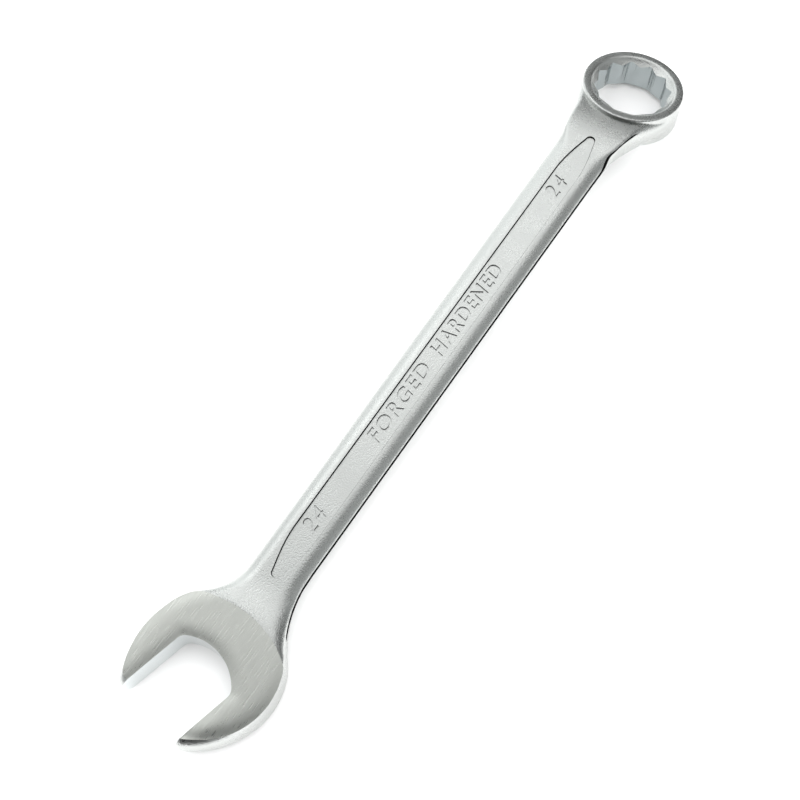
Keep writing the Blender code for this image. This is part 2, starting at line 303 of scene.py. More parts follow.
def painted_shade_steel():
    material, tree, shader = new_material("painted_shade_steel")
    place = add_node(tree, "ShaderNodeTexCoord").outputs["Object"]
    shade_noise = add_node(tree, "ShaderNodeTexNoise", {"Vector": place, "Scale": 1 / GRAIN_OF_PAINTED_SHADE, "Detail": 2.0})
    rough = add_node(
        tree, "ShaderNodeMapRange",
        {"Value": shade_noise.outputs["Fac"], "From Min": 0.3, "From Max": 0.7, "To Min": 0.5, "To Max": 0.7},
    )
    tree.links.new(rough.outputs["Result"], shader.inputs["Roughness"])
    # The near-black base colour is painted shade and dark reflection, not the steel's own colour.
    shader.inputs["Base Color"].default_value = linear("#1E2020")
    shader.inputs["Metallic"].default_value = 1.0
    return material


SATIN = blasted_satin_chrome()
PAINTED_SHADE = painted_shade_steel()
GROUND = ground_chrome()
# The jaw gap's lighter colour is a painted reflection of the white table, and the bore's darker colour is painted
# shade.
MILLED_PAINTED_REFLECTION = machined_chrome("milled_chrome_painted_reflection", "#DADFDF", 0.0, MILL_LINE_HEIGHT)
BROACHED_PAINTED_SHADE = machined_chrome("broached_chrome_painted_shade", "#AEB5B6", BORE_LEAN, BROACH_LINE_HEIGHT)
print("finishes:", SATIN.name, PAINTED_SHADE.name, GROUND.name, MILLED_PAINTED_REFLECTION.name, BROACHED_PAINTED_SHADE.name)

# %% [markdown]
# ## The open end's blank
# The open end looks like a crescent in plan. Its outside swells from each cheek to the parting plane, most of all
# at the tips. The blank is a stack of outlines, a little thicker than the finished end, so that grinding has
# something to take off.

# %% Outlines of the open end
ACROSS_FLATS = 24.0
CHEEK = 5.28  # height of each ground cheek
HEAD_RADIUS = 22.6
NECK_LINE_CENTRE = (-16.5, 1.8)
NECK_LINE_RADIUS = 34.65
NECK_LINE_ENDS = ((10.8, -19.7), (14.7, 16.8))

BLANK_INSIDE = 0.8  # how far the open end's blank reaches over the neck line into the neck
INTO_THE_GAP = 2.0  # how far it reaches over each jaw flat, for the milling to take off
SWELL = 3.15  # power of the curve from the parting line's outline to the cheek's
BLANK_LEVELS = (0, 0.2, 0.4, 0.58, 0.74, 0.88, 1.0, 1.12)  # shares of the cheek's height

# Outer arc of each jaw: centre x, centre y, radius, reach of the tip, radius of its corner.
UPPER_JAW_CHEEK = (-2.85, -5.24, 28.28, 20.6, 1.0)
UPPER_JAW_PARTING = (-4.50, -8.03, 31.45, 24.1, 2.5)
LOWER_JAW_CHEEK = (0.0, -0.10, 22.40, 18.9, 3.0)
LOWER_JAW_PARTING = (-1.26, 3.85, 26.40, 22.7, 2.5)


def from_jaw(u, v):
    """Plan position of a point given along the mouth's direction (u) and across it (v)."""
    c, s = math.cos(JAW_ANGLE), math.sin(JAW_ANGLE)
    return (-u * c + v * s, u * s + v * c)


def to_jaw(x, y):
    c, s = math.cos(JAW_ANGLE), math.sin(JAW_ANGLE)
    return (-x * c + y * s, x * s + y * c)


def jaw_side(start, jaw, side):
    """The outer arc of one jaw, from its neck end to the tip's inner corner."""
    x, y, radius, reach, corner = jaw
    cu, cv = to_jaw(x, y)
    rise = math.sqrt((radius - corner) ** 2 - (reach - corner - cu) ** 2)
    corner_centre = (reach - corner, cv + side * rise)
    touch = bearing((cu, cv), corner_centre)
    points = arc((cu, cv), radius, bearing((cu, cv), to_jaw(*start)), touch, 40)
    points += arc(corner_centre, corner, touch, 0.0, 8)[1:]
    points.append((reach, side * (ACROSS_FLATS / 2 - INTO_THE_GAP)))
    return [from_jaw(u, v) for u, v in points]


def head_outline(upper, lower, inside):
    """The open end in plan, with its neck side that far inside the neck line."""
    low, high = (bearing(NECK_LINE_CENTRE, end) for end in NECK_LINE_ENDS)
    neck = arc(NECK_LINE_CENTRE, NECK_LINE_RADIUS - inside, low, high, 20)
    ends = arc(NECK_LINE_CENTRE, NECK_LINE_RADIUS, low, high, 1)
    return neck[1:-1] + jaw_side(ends[1], upper, 1) + jaw_side(ends[0], lower, -1)[::-1]


def open_end_blank():
    cheek = head_outline(UPPER_JAW_CHEEK, LOWER_JAW_CHEEK, BLANK_INSIDE)
    parting = head_outline(UPPER_JAW_PARTING, LOWER_JAW_PARTING, BLANK_INSIDE)
    rings = []
    for level in [-share for share in BLANK_LEVELS[:0:-1]] + list(BLANK_LEVELS):
        grown = 1 - abs(level) ** SWELL
        pairs = zip(cheek, parting)
        rings.append([(a + (c - a) * grown, b + (d - b) * grown, level * CHEEK) for (a, b), (c, d) in pairs])
    return loft("open_end_blank", rings)


# %% [markdown]
# ## The shank's blank
# Between the ends the section changes all the time. At the open end it is tall and its sides are upright. In the
# middle it has a flat crown, two sloping flanks and a low upright edge. Towards the ring it widens again and its
# underside dives. Tables give each of these sizes at a few places, and a smooth curve through each table gives it
# everywhere else.

# %% Sections of the shank
SHANK_HEIGHT = 3.3
RING_CENTRE = (244.65, 0.0, -6.81)
RING_HALF = 5.95
RING_RADIUS = 17.87
NECK_SAG = 1.35  # by which the neck dips over SAG_LENGTH, from SAG_START on
SAG_START, SAG_LENGTH = 216, 13
STEP_AT_RING = 0.5  # the least by which the neck's top stays under the ring's face
UNDERSIDE_START, UNDERSIDE_LENGTH, UNDERSIDE_STEP = 205, 24, 0.3  # how the underside comes to the ring's lower face
NECK_FALL = 13.0  # over which the neck falls from the cheek to the shank's crown
UNDER_THE_GRINDER = 0.55  # the most that the neck rises over the cheek, for grinding to take off
RING_NECK_START, RING_NECK_BLEND = 204, 10
FILLETS = {1: 19.3, -1: 39.6}  # radius between the open end's round and the shank's edge
STRAIGHT_FROM, STRAIGHT_TO = 30, 207

UPPER_EDGE = [(30, 8.75), (50, 8.8), (120, 9.3), (200, 9.75), (212, 9.8)]
LOWER_EDGE = [(30, 9.25), (50, 9.3), (120, 9.3), (200, 9.4), (212, 9.5)]
UPPER_RING_NECK_EDGE = [
    (204, 9.78), (210, 9.8), (214, 10.1), (218, 10.7), (222, 11.6), (226, 12.7), (230, 14.1), (234, 15.6),
    (238, 16.9), (243, 17.7),
]
LOWER_RING_NECK_EDGE = [
    (204, 9.42), (210, 9.6), (214, 9.7), (218, 10.0), (222, 10.8), (226, 12.2), (230, 13.8), (234, 15.5),
    (238, 16.9), (243, 17.7),
]
# Share of the half width that is flat crown.
UPPER_CROWN = [(4, 0.97), (8, 0.95), (12, 0.93), (16, 0.88), (20, 0.78), (26, 0.62), (32, 0.54), (200, 0.5)]
LOWER_CROWN = [(4, 0.97), (8, 0.95), (12, 0.86), (16, 0.74), (20, 0.64), (26, 0.58), (32, 0.56), (200, 0.56)]
RING_NECK_CROWN = [
    (204, 0.5), (210, 0.58), (214, 0.76), (218, 0.94), (222, 0.94), (226, 0.88), (230, 0.83), (234, 0.83),
    (238, 0.87), (243, 0.94),
]
# Half height of the upright edge, in millimetres.
UPPER_WALL = [(4, 5.4), (12, 5.2), (16, 4.6), (20, 3.3), (26, 1.6), (32, 0.9), (200, 0.9)]
LOWER_WALL = [(4, 5.4), (8, 5.3), (12, 4.4), (16, 2.9), (20, 1.9), (26, 1.2), (32, 0.9), (200, 0.9)]
RING_NECK_WALL = [(204, 0.9), (214, 1.1), (222, 1.4), (230, 1.5), (236, 2.0), (243, 3.5)]


def ring_face(x, side):
    """Height at x of the ring's upper (side 1) or lower (side -1) face."""
    face_x = RING_CENTRE[0] + side * RING_HALF * math.sin(RING_ANGLE)
    face_z = RING_CENTRE[2] + side * RING_HALF * math.cos(RING_ANGLE)
    return face_z - (x - face_x) * math.tan(RING_ANGLE)


def head_edge(x, side):
    """The open end's outline near the neck, where the jaw's arc becomes the head's round."""
    cx, cy, radius = (UPPER_JAW_PARTING if side > 0 else LOWER_JAW_PARTING)[:3]
    jaw = side * cy + math.sqrt(radius**2 - (x - cx) ** 2)
    return jaw + (math.sqrt(HEAD_RADIUS**2 - x**2) - jaw) * ease((x - 4) / 8)


def edge(x, side):
    """Half width of the blank at x on its +Y (side 1) or -Y (side -1) edge."""
    if x > STRAIGHT_TO:
        return follow(UPPER_RING_NECK_EDGE if side > 0 else LOWER_RING_NECK_EDGE, x)
    straight = follow(UPPER_EDGE if side > 0 else LOWER_EDGE, x)
    fillet = FILLETS[side]
    start = follow(UPPER_EDGE if side > 0 else LOWER_EDGE, STRAIGHT_FROM)
    centre_x = math.sqrt((HEAD_RADIUS + fillet) ** 2 - (start + fillet) ** 2)
    if x < centre_x * HEAD_RADIUS / (HEAD_RADIUS + fillet):
        return head_edge(x, side)
    if x < centre_x:
        return start + fillet - math.sqrt(fillet**2 - (centre_x - x) ** 2)
    return straight


def roof(x, y):
    """Height of the upper surface of the head's neck and the shank, on the crown."""
    past = math.hypot(x - NECK_LINE_CENTRE[0], y - NECK_LINE_CENTRE[1]) - NECK_LINE_RADIUS
    fall = CHEEK - SHANK_HEIGHT
    if past < 0:
        return CHEEK + min(-past * 2 * fall / NECK_FALL, UNDER_THE_GRINDER)
    return SHANK_HEIGHT + fall * max(1 - past / NECK_FALL, 0) ** 2


def wall_height(x, side):
    """Half height of the upright edge at x."""
    wall = follow(UPPER_WALL if side > 0 else LOWER_WALL, x)
    return wall + (follow(RING_NECK_WALL, x) - wall) * ease((x - RING_NECK_START) / RING_NECK_BLEND)


def levels(x, y):
    """Height of the section's middle and its half height, at a place on the crown."""
    sag = NECK_SAG * max((x - SAG_START) / SAG_LENGTH, 0) ** 2
    top = min(roof(x, y) - sag, ring_face(x, 1) - STEP_AT_RING)
    dive = ease((x - UNDERSIDE_START) / UNDERSIDE_LENGTH)
    bottom = -roof(x, y) + (ring_face(x, -1) + UNDERSIDE_STEP + roof(x, y)) * dive
    return (top + bottom) / 2, (top - bottom) / 2


def section(x):
    """One section of the blank, over the top from its +Y edge and back underneath.

    Each flank is a quarter of an oval. Its power falls from 2, a true ellipse, at the open end to 1.5, a flatter one.
    """
    near_ring = ease((x - RING_NECK_START) / RING_NECK_BLEND)
    power = 2 - 0.5 * ease((x - 14) / 16)
    halves = []
    for up in (1, -1):
        rows = {}
        for side in (1, -1):
            width = edge(x, side)
            crown = follow(UPPER_CROWN if side > 0 else LOWER_CROWN, x)
            crown = width * (crown + (follow(RING_NECK_CROWN, x) - crown) * near_ring)
            wall = wall_height(x, side)
            row = []
            for angle in np.linspace(0, math.pi / 2, 11):
                across = max(math.cos(angle), 0.0) ** (2 / power)
                row.append((side * (crown + (width - crown) * across), wall, math.sin(angle) ** (2 / power)))
            for share in (0.8, 0.6, 0.4, 0.2):
                row.append((side * crown * share, wall, 1.0))
            rows[side] = row
        halves.append([(up, *point) for point in rows[1] + [(0.0, 0.0, 1.0)] + rows[-1][::-1]])
    points = []
    for up, y, wall, share in halves[0] + halves[1][::-1]:
        middle, half = levels(x, y)
        points.append((x, y, middle + up * (wall + (half - wall) * share)))
    return points


def shank_blank():
    stations = np.concatenate([np.arange(6, 34, 1.0), np.arange(34, 202, 6.0), np.arange(202, 243.5, 1.0)])
    return loft("shank_blank", [section(x) for x in stations])


# %% [markdown]
# ## Making the blank soft
# Two blanks that overlap have a hard crease where they meet, but a forging has none: hot steel fills every corner
# of the die with a round. A voxel remesh turns both into one skin of small even faces, and a smoothing pass lets
# that skin relax by about a millimetre. Bevels would be the other way, but they can't follow a crease that fades
# out, as the ones at the neck do.

# %% Join, remesh and smooth
VOXEL = 0.5
RELAX_PASSES = 8


def evaluated_mesh(thing):
    bpy.context.view_layer.update()
    return bpy.data.meshes.new_from_object(thing.evaluated_get(bpy.context.evaluated_depsgraph_get()))


def apply_modifiers(thing):
    """Replaces the object's mesh by its modified one."""
    mesh = evaluated_mesh(thing)
    thing.modifiers.clear()
    thing.data = mesh
    return thing


def soft_blank():
    made = bmesh.new()
    for blank in (open_end_blank(), shank_blank()):
        made.from_mesh(blank.data)
        bpy.data.objects.remove(blank)
    mesh = bpy.data.meshes.new("forging")
    made.to_mesh(mesh)
    made.free()
    thing = bpy.data.objects.new("forging", mesh)
    bpy.context.scene.collection.objects.link(thing)
    remesh = thing.modifiers.new("one skin", "REMESH")
    remesh.mode = "VOXEL"
    remesh.voxel_size = VOXEL
    relax = thing.modifiers.new("relax", "SMOOTH")
    relax.factor = 0.5
    relax.iterations = RELAX_PASSES
    apply_modifiers(thing)
    thing.data.materials.clear()
    thing.data.materials.append(SATIN)
    return thing


forging = soft_blank()
print("blank:", len(forging.data.polygons), "faces")

# %% [markdown]
# ## The ring
# The ring is round, so it is turned: a half section is spun about the ring's own axis with a Screw modifier. Its
# faces are flat, their outer edges are rounded, and at each mouth of the bore a lead-in leads the wrench onto
# the nut.

# %% Turn the ring
RING_STEPS = 180
RIM = (15.5, 17.2)  # inner and outer radius of the flat face
BORE_BLANK = 12.0
PLUG_RADIUS = (BORE_BLANK + RING_RADIUS) / 2 + 0.8  # ends within the ring's wall
THROUGH = 15  # half length of the plug and the broach, which go right through the ring
# Radius and depth below the face, down the lead-in from the flat face to the bore.
LEAD_IN = ((15.1, 0.06), (14.75, 0.24), (14.45, 0.55), (13.9, 1.0), (12.0, 2.3))
CHAMFER = ((14.6, 0.0), (14.0, 0.4), (12.0, 1.7))


def ring_blank():
    corner = RING_RADIUS - RIM[1]
    inner = [(r, RING_HALF - depth) for r, depth in LEAD_IN[::-1]]
    outer = [(RIM[0], RING_HALF), (RIM[1], RING_HALF)]
    outer += arc((RIM[1], RING_HALF - corner), corner, math.pi / 2, 0.0, 6)[1:]
    under = [(r, -z) for r, z in outer[:0:-1]] + [(r, depth - RING_HALF) for r, depth in CHAMFER]
    profile = inner + outer + under
    mesh = bpy.data.meshes.new("ring_blank")
    mesh.from_pydata(
        [(r, 0, z) for r, z in profile], [(i, (i + 1) % len(profile)) for i in range(len(profile))], []
    )
    thing = bpy.data.objects.new("ring_blank", mesh)
    bpy.context.scene.collection.objects.link(thing)
    turned = thing.modifiers.new("turned", "SCREW")
    turned.steps = RING_STEPS
    turned.render_steps = RING_STEPS
    turned.use_merge_vertices = True
    turned.merge_threshold = 0.0001
    apply_modifiers(thing)
    thing.data.materials.append(SATIN)
    made = bmesh.new()
    made.from_mesh(thing.data)
    bmesh.ops.recalc_face_normals(made, faces=made.faces)
    made.to_mesh(thing.data)
    made.free()
    return thing


def clearance():
    """A plug inside the ring's wall that clears the neck's steel out of the bore before the ring is joined."""
    outline = arc((0, 0), PLUG_RADIUS, 0, 2 * math.pi, 72)[:-1]
    return prism("clearance", outline, -THROUGH, THROUGH, SATIN)


def on_ring_axis(thing):
    thing.location = RING_CENTRE
    thing.rotation_euler = (0, RING_ANGLE, 0)
    return thing


# %% [markdown]
# ## Cutters
# The twelve points are a rule: two hexagons on one centre, a twelfth of a turn apart. A star with twelve points
# is the same outline, so Geometry Nodes draw it with the Star primitive from the width across flats. The tree
# fills the outline and extrudes it. Its inputs are named, so a wrench of another size needs only another number.

# %% The twelve-point broach, as Geometry Nodes
def solid_from_outline(tree, outline, depth, material):
    """Nodes that fill a flat outline, extrude it to a closed solid and give it a material."""
    filled = add_node(tree, "GeometryNodeFillCurve", {"Curve": outline}, mode="NGONS")
    grown = add_node(
        tree, "GeometryNodeExtrudeMesh", {"Mesh": filled.outputs["Mesh"], "Offset Scale": depth, "Individual": False}
    )
    base = add_node(tree, "GeometryNodeFlipFaces", {"Mesh": filled.outputs["Mesh"]})
    both = add_node(tree, "GeometryNodeJoinGeometry")
    tree.links.new(grown.outputs["Mesh"], both.inputs["Geometry"])
    tree.links.new(base.outputs["Mesh"], both.inputs["Geometry"])
    whole = add_node(
        tree, "GeometryNodeMergeByDistance", {"Geometry": both.outputs["Geometry"], "Distance": 0.0005}
    )
    real = add_node(tree, "GeometryNodeRealizeInstances", {"Geometry": whole.outputs["Geometry"]})
    painted = add_node(tree, "GeometryNodeSetMaterial", {"Geometry": real.outputs["Geometry"], "Material": material})
    result = add_node(tree, "NodeGroupOutput")
    tree.links.new(painted.outputs["Geometry"], result.inputs[0])


def new_tree(name, inputs):
    """A geometry tree with named inputs, given as name: (socket kind, default)."""
    tree = bpy.data.node_groups.new(name, "GeometryNodeTree")
    tree.interface.new_socket("Geometry", in_out="OUTPUT", socket_type="NodeSocketGeometry")
    for label, (kind, default) in inputs.items():
        socket = tree.interface.new_socket(label, in_out="INPUT", socket_type=kind)
        socket.default_value = default
    return tree, add_node(tree, "NodeGroupInput")


def run_tree(name, tree, values):
    """The mesh that a geometry tree makes from these values, as an object with no modifier."""
    thing = bpy.data.objects.new(name, bpy.data.meshes.new(name))
    bpy.context.scene.collection.objects.link(thing)
    nodes = thing.modifiers.new("nodes", "NODES")
    nodes.node_group = tree
    for item in tree.interface.items_tree:
        if item.in_out == "INPUT":
            nodes[item.identifier] = values[item.name]
    return apply_modifiers(thing)


def broach_tree():
    tree, given = new_tree("twelve_point_broach", {
        "Across flats": ("NodeSocketFloat", 24.0),
        "Points": ("NodeSocketInt", 12),
        "Corner": ("NodeSocketFloat", 0.5),
        "Depth": ("NodeSocketFloat", 30.0),
    })
    flat = given.outputs["Across flats"]
    groove = add_node(tree, "ShaderNodeMath", {0: flat, 1: 2 * math.cos(math.radians(30))}, operation="DIVIDE")
    ridge = add_node(tree, "ShaderNodeMath", {0: flat, 1: 2 * math.cos(math.radians(15))}, operation="DIVIDE")
    star = add_node(tree, "GeometryNodeCurveStar", {
        "Points": given.outputs["Points"],
        "Inner Radius": ridge.outputs[0],
        "Outer Radius": groove.outputs[0],
        "Twist": 0.0,
    })
    rounded = add_node(tree, "GeometryNodeFilletCurve", {
        "Curve": star.outputs["Curve"], "Count": 5, "Radius": given.outputs["Corner"],
    }, mode="POLY")
    solid_from_outline(tree, rounded.outputs["Curve"], given.outputs["Depth"], BROACHED_PAINTED_SHADE)
    return tree


broach = run_tree("broach", broach_tree(), {
    "Across flats": ACROSS_FLATS, "Points": 12, "Corner": 1.1, "Depth": 2.0 * THROUGH,
})
broach.data.transform(Matrix.Translation((0, 0, -THROUGH)))
on_ring_axis(broach)
print("broach:", len(broach.data.polygons), "faces")

# %% [markdown]
# The jaw gap is milled right through. It has two parallel flats and a throat, and a small round joins them at
# each side, because a sharp inner corner would be where a wrench cracks. The grinder is a thick plate over each
# cheek. Polishing takes more off near an edge than in the middle, so the plate's face bends down towards the edges
# of the jaws, and the cheek rolls off a little there.

# %% The jaw cutter and the grinding plates
THROAT_DEPTH = 3.95
THROAT_RADIUS = 17.0
THROAT_CORNER = 3.5
MOUTH_REACH = 49.0
ROLL_DEPTH = 0.38
ROLL_WIDTH = 4.5
PLATE = np.arange(-34, 34.1, 0.8)  # places of the plate's grid, along and across
PLATE_THICKNESS = 10
MILL_HALF = 12  # half length of the jaw cutter, which goes right through the open end


def jaw_cutter():
    half = ACROSS_FLATS / 2
    centre = (THROAT_RADIUS - THROAT_DEPTH, 0.0)
    corner_u = centre[0] - math.sqrt((THROAT_RADIUS - THROAT_CORNER) ** 2 - (half - THROAT_CORNER) ** 2)
    upper, lower = (corner_u, half - THROAT_CORNER), (corner_u, THROAT_CORNER - half)
    touch = bearing(centre, upper)
    outline = [(MOUTH_REACH, half)]
    outline += arc(upper, THROAT_CORNER, math.pi / 2, touch, 12)
    outline += arc(centre, THROAT_RADIUS, touch, 2 * math.pi - touch, 40)[1:-1]
    outline += arc(lower, THROAT_CORNER, 2 * math.pi - touch, 1.5 * math.pi, 12)
    outline += [(MOUTH_REACH, -half)]
    return prism("jaw_cutter", [from_jaw(u, v) for u, v in outline], -MILL_HALF, MILL_HALF, MILLED_PAINTED_REFLECTION)


def rolled_off(x, y):
    """How far polishing has taken the cheek down at a place near the jaws' edges."""
    u, v = to_jaw(x, y)
    inner = abs(v) - ACROSS_FLATS / 2
    if u < THROAT_RADIUS - THROAT_DEPTH:
        inner = max(inner, math.hypot(u - THROAT_RADIUS + THROAT_DEPTH, v) - THROAT_RADIUS)
    cx, cy, radius = (UPPER_JAW_CHEEK if v > 0 else LOWER_JAW_CHEEK)[:3]
    outer = radius - math.hypot(x - cx, y - cy)
    return ROLL_DEPTH * sum(max(1 - max(away, 0) / ROLL_WIDTH, 0) ** 2 for away in (inner, outer))


def grinding_plate(side):
    """A plate over one cheek, whose face is flat in the middle and bends down towards the jaws' edges."""
    made = bmesh.new()
    rows = []
    for x in PLATE:
        rows.append([made.verts.new((x, y, side * (CHEEK - rolled_off(x, y)))) for y in PLATE])
    for row, following in zip(rows, rows[1:]):
        for i in range(len(row) - 1):
            made.faces.new((row[i], row[i + 1], following[i + 1], following[i]))
    grown = bmesh.ops.extrude_face_region(made, geom=made.faces[:])
    lifted = [part for part in grown["geom"] if isinstance(part, bmesh.types.BMVert)]
    bmesh.ops.translate(made, verts=lifted, vec=(0, 0, side * PLATE_THICKNESS))
    return mesh_object("grinding_plate", made, GROUND)


# %% [markdown]
# The dark line along each edge is painted shade: a groove a third of a millimetre deep whose faces take the
# near-black metal, so its cutter is a thin rod that follows the blank's upright edge. Past the shank, on the -Y edge,
# the groove gets narrower and climbs to the crease at the top of the neck's side. At both ends the rod leaves the
# steel gently, so the groove fades out.

# %% The cutter of the painted shade line
SHADE_LINE_HEIGHT = 1.5
SHADE_LINE_DEPTH = 0.35
SHADE_LINE_ABOVE_WALL = 0.3
SHADE_LINE_UNDER_CREASE = 0.4
SHADE_LINE_START = 16
SHADE_LINE_ENDS = {1: 214, -1: 232}


def shade_line_corners(x, side):
    """Depth into the steel, lowest and highest point of the groove at x."""
    y = edge(x, side)
    middle, half = levels(x, y)
    wall = wall_height(x, side) + SHADE_LINE_ABOVE_WALL
    climb = ease((x - 207) / 9) * (side < 0)
    top = middle + wall + (half - SHADE_LINE_UNDER_CREASE - wall) * climb
    low = top - SHADE_LINE_HEIGHT * (1 - 0.6 * climb)
    lean = y * (1 - follow(RING_NECK_CROWN, x)) * 0.6 * climb
    fade = (SHADE_LINE_DEPTH + 0.6) * (ease((x - 225) / 7) + 1 - ease((x - 14) / 7))
    return lean + SHADE_LINE_DEPTH - fade, low, top


def shade_line_cutter(side):
    rings = []
    for x in np.arange(SHADE_LINE_START, SHADE_LINE_ENDS[side], 1.0):
        depth, low, top = shade_line_corners(x, side)
        inner, outer = side * (edge(x, side) - depth), side * (edge(x, side) + 1)
        rings.append([(x, inner, low), (x, outer, low), (x, outer, top), (x, inner, top)])
    # The groove's faces take the near-black metal: a painted shade line.
    return loft("shade_line_cutter", rings, PAINTED_SHADE)


# %% [markdown]
# Each face of the shank has a shallow panel. Its walls lean outwards, or the forging would stick in the die, and
# it narrows to a small round at both ends. The size and two plain words are stamped into its floor.

# %% The panels
PANEL_HALF_WIDTH = 4.2
PANEL_LEAN = 0.25  # how far a wall leans out over its height
PANEL_DEPTH = 0.65
PANEL_START = 32.0
PANEL_TAPER = 17.5
PANEL_NOSE = 1.6
PANEL_ENDS = {1: 217.8, -1: 204.5}
PANEL_SHIFT = -0.3  # the panels sit a little off the shank's middle
STEEP = 0.9  # a face whose normal rises less than this is a wall


def paint_shade_on_walls(cutter):
    """Leaves the floor satin, and paints the steep faces with the near-black metal, as painted shade in the recess."""
    cutter.data.materials.append(PAINTED_SHADE)
    for face in cutter.data.polygons:
        face.material_index = int(abs(face.normal.z) < STEEP)
    return cutter


def panel_outline(end, grown):
    """The panel in plan: a long strip that narrows to a round nose at both ends."""
    nose, half = PANEL_NOSE + grown, PANEL_HALF_WIDTH + grown
    swell = [
        ((PANEL_TAPER - PANEL_NOSE) * share, nose + (half - nose) * math.sin(share * math.pi / 2))
        for share in np.linspace(0.08, 1, 12)
    ]
    first, last = PANEL_START + PANEL_NOSE, end - PANEL_NOSE
    upper = [(first + x, y) for x, y in swell] + [(last - x, y) for x, y in swell[::-1]]
    outline = arc((first, 0), nose, 1.5 * math.pi, 0.5 * math.pi, 10) + upper
    outline += arc((last, 0), nose, 0.5 * math.pi, -0.5 * math.pi, 10)
    return outline + [(x, -y) for x, y in upper[::-1]]


def panel_cutter(side):
    rings = []
    for height, grown in ((SHANK_HEIGHT - PANEL_DEPTH, 0.0), (SHANK_HEIGHT + 2 * PANEL_DEPTH, 3 * PANEL_LEAN)):
        outline = panel_outline(PANEL_ENDS[side], grown - PANEL_LEAN / 2)
        rings.append([(x, y + PANEL_SHIFT, side * height) for x, y in outline])
    # The panel's steep walls get the near-black metal: painted shade in the recess.
    return paint_shade_on_walls(loft("panel_cutter", rings, SATIN))


# %% [markdown]
# The stamps are text, made solid and fitted to a length and a height. Plain letters with strokes made a little
# bolder look like letter punches. They lean like italics, as on many tools. Text comes with slivers and with
# corners that lie on a straight line, which upset an exact Boolean, so the letters are cleaned twice over.

# %% The stamps
CAP_HEIGHT = 5.2
STAMP_DEPTH = 0.45
STAMP_MIDDLE = 0.1  # across the shank
# Text, middle along the shank, length, and how far each edge of a stroke moves out to make it bolder.
STAMPS = (
    ("24", 53.75, 8.3, 0.0), ("FORGED", 100.65, 31.3, 0.15), ("HARDENED", 139.9, 37.8, 0.15),
    ("24", 194.65, 8.5, 0.0),
)
LETTER_SIZE = 7.0
LETTER_GAP = 1.15
LEAN = 0.22
PUNCH_LENGTH = 1.5
MERGE = 0.0005  # corners closer than this become one
SLIVER = 0.001  # edges shorter than this go


def letters(text, length, bolder):
    """Solid letters, up from z = 0, centred on the origin."""
    drawn = bpy.data.curves.new("letters", "FONT")
    drawn.body = text
    drawn.size, drawn.shear, drawn.offset = LETTER_SIZE, LEAN, bolder
    drawn.space_character = LETTER_GAP
    drawn.extrude = PUNCH_LENGTH / 2
    drawn.resolution_u = 4
    thing = bpy.data.objects.new("letters", drawn)
    bpy.context.scene.collection.objects.link(thing)
    made = bmesh.new()
    made.from_mesh(evaluated_mesh(thing))
    bpy.data.objects.remove(thing)
    bmesh.ops.remove_doubles(made, verts=made.verts, dist=MERGE)
    for _ in range(2):
        bmesh.ops.dissolve_limit(made, angle_limit=0.001, verts=made.verts, edges=made.edges)
        bmesh.ops.dissolve_degenerate(made, dist=SLIVER, edges=made.edges)
        bmesh.ops.triangulate(made, faces=made.faces)
    bmesh.ops.dissolve_degenerate(made, dist=SLIVER, edges=made.edges)
    corners = np.array([vertex.co for vertex in made.verts])
    low, high = corners.min(axis=0), corners.max(axis=0)
    fit = Matrix.Diagonal((length / (high[0] - low[0]), CAP_HEIGHT / (high[1] - low[1]), 1, 1))
    made.transform(fit @ Matrix.Translation(-Vector(((low[0] + high[0]) / 2, (low[1] + high[1]) / 2, low[2]))))
    print(text, "has", sum(len(crease.link_faces) != 2 for crease in made.edges), "open edges")
    mesh = bpy.data.meshes.new("letters")
    made.to_mesh(mesh)
    made.free()
    return mesh


def stamps(side):
    """The letters of one face, as one cutter."""
    made = bmesh.new()
    for text, centre, length, bolder in STAMPS:
        place = Matrix.Translation((centre, STAMP_MIDDLE, SHANK_HEIGHT - PANEL_DEPTH - STAMP_DEPTH))
        if side < 0:
            place = Matrix.Rotation(math.pi, 4, "X") @ place
        drawn = letters(text, length, bolder)
        drawn.transform(place)
        made.from_mesh(drawn)
    # The stamps' steep walls get the near-black metal: painted shade in the letters.
    return paint_shade_on_walls(mesh_object("stamps", made, SATIN))


# %% [markdown]
# ## Machining
# Now the cutters are used, in the workshop's order. The exact solver keeps every edge crisp. With the transfer
# setting each cut face takes its cutter's material: its finish, or the painted shade of the dark line and the steep
# walls.

# %% Machine the forging
def cut(thing, tool, operation="DIFFERENCE"):
    boolean = thing.modifiers.new(tool.name, "BOOLEAN")
    boolean.object = tool
    boolean.operation = operation
    boolean.solver = "EXACT"
    boolean.material_mode = "TRANSFER"
    apply_modifiers(thing)
    bpy.data.objects.remove(tool)


for side in (1, -1):
    cut(forging, grinding_plate(side))
cut(forging, on_ring_axis(clearance()))
cut(forging, on_ring_axis(ring_blank()), "UNION")
cut(forging, jaw_cutter())
cut(forging, broach)
for side in (1, -1):
    cut(forging, shade_line_cutter(side))
for side in (1, -1):
    cut(forging, panel_cutter(side))
for side in (1, -1):
    cut(forging, stamps(side))
print("machined:", len(forging.data.polygons), "faces,", [m.name for m in forging.data.materials])

# %% [markdown]
# ## Into place
# The mesh is moved to where the solid model lies. The Booleans leave corners that lie in the middle of an edge
# and serve nothing. They go first, or cutting the larger faces into triangles would leave an edge between four
# faces. Then an edge is drawn crisp where two finishes meet or where the surface turns sharply, and everything else
# is shaded smooth.

# %% Place, shade and hand over
CRISP = math.radians(28)


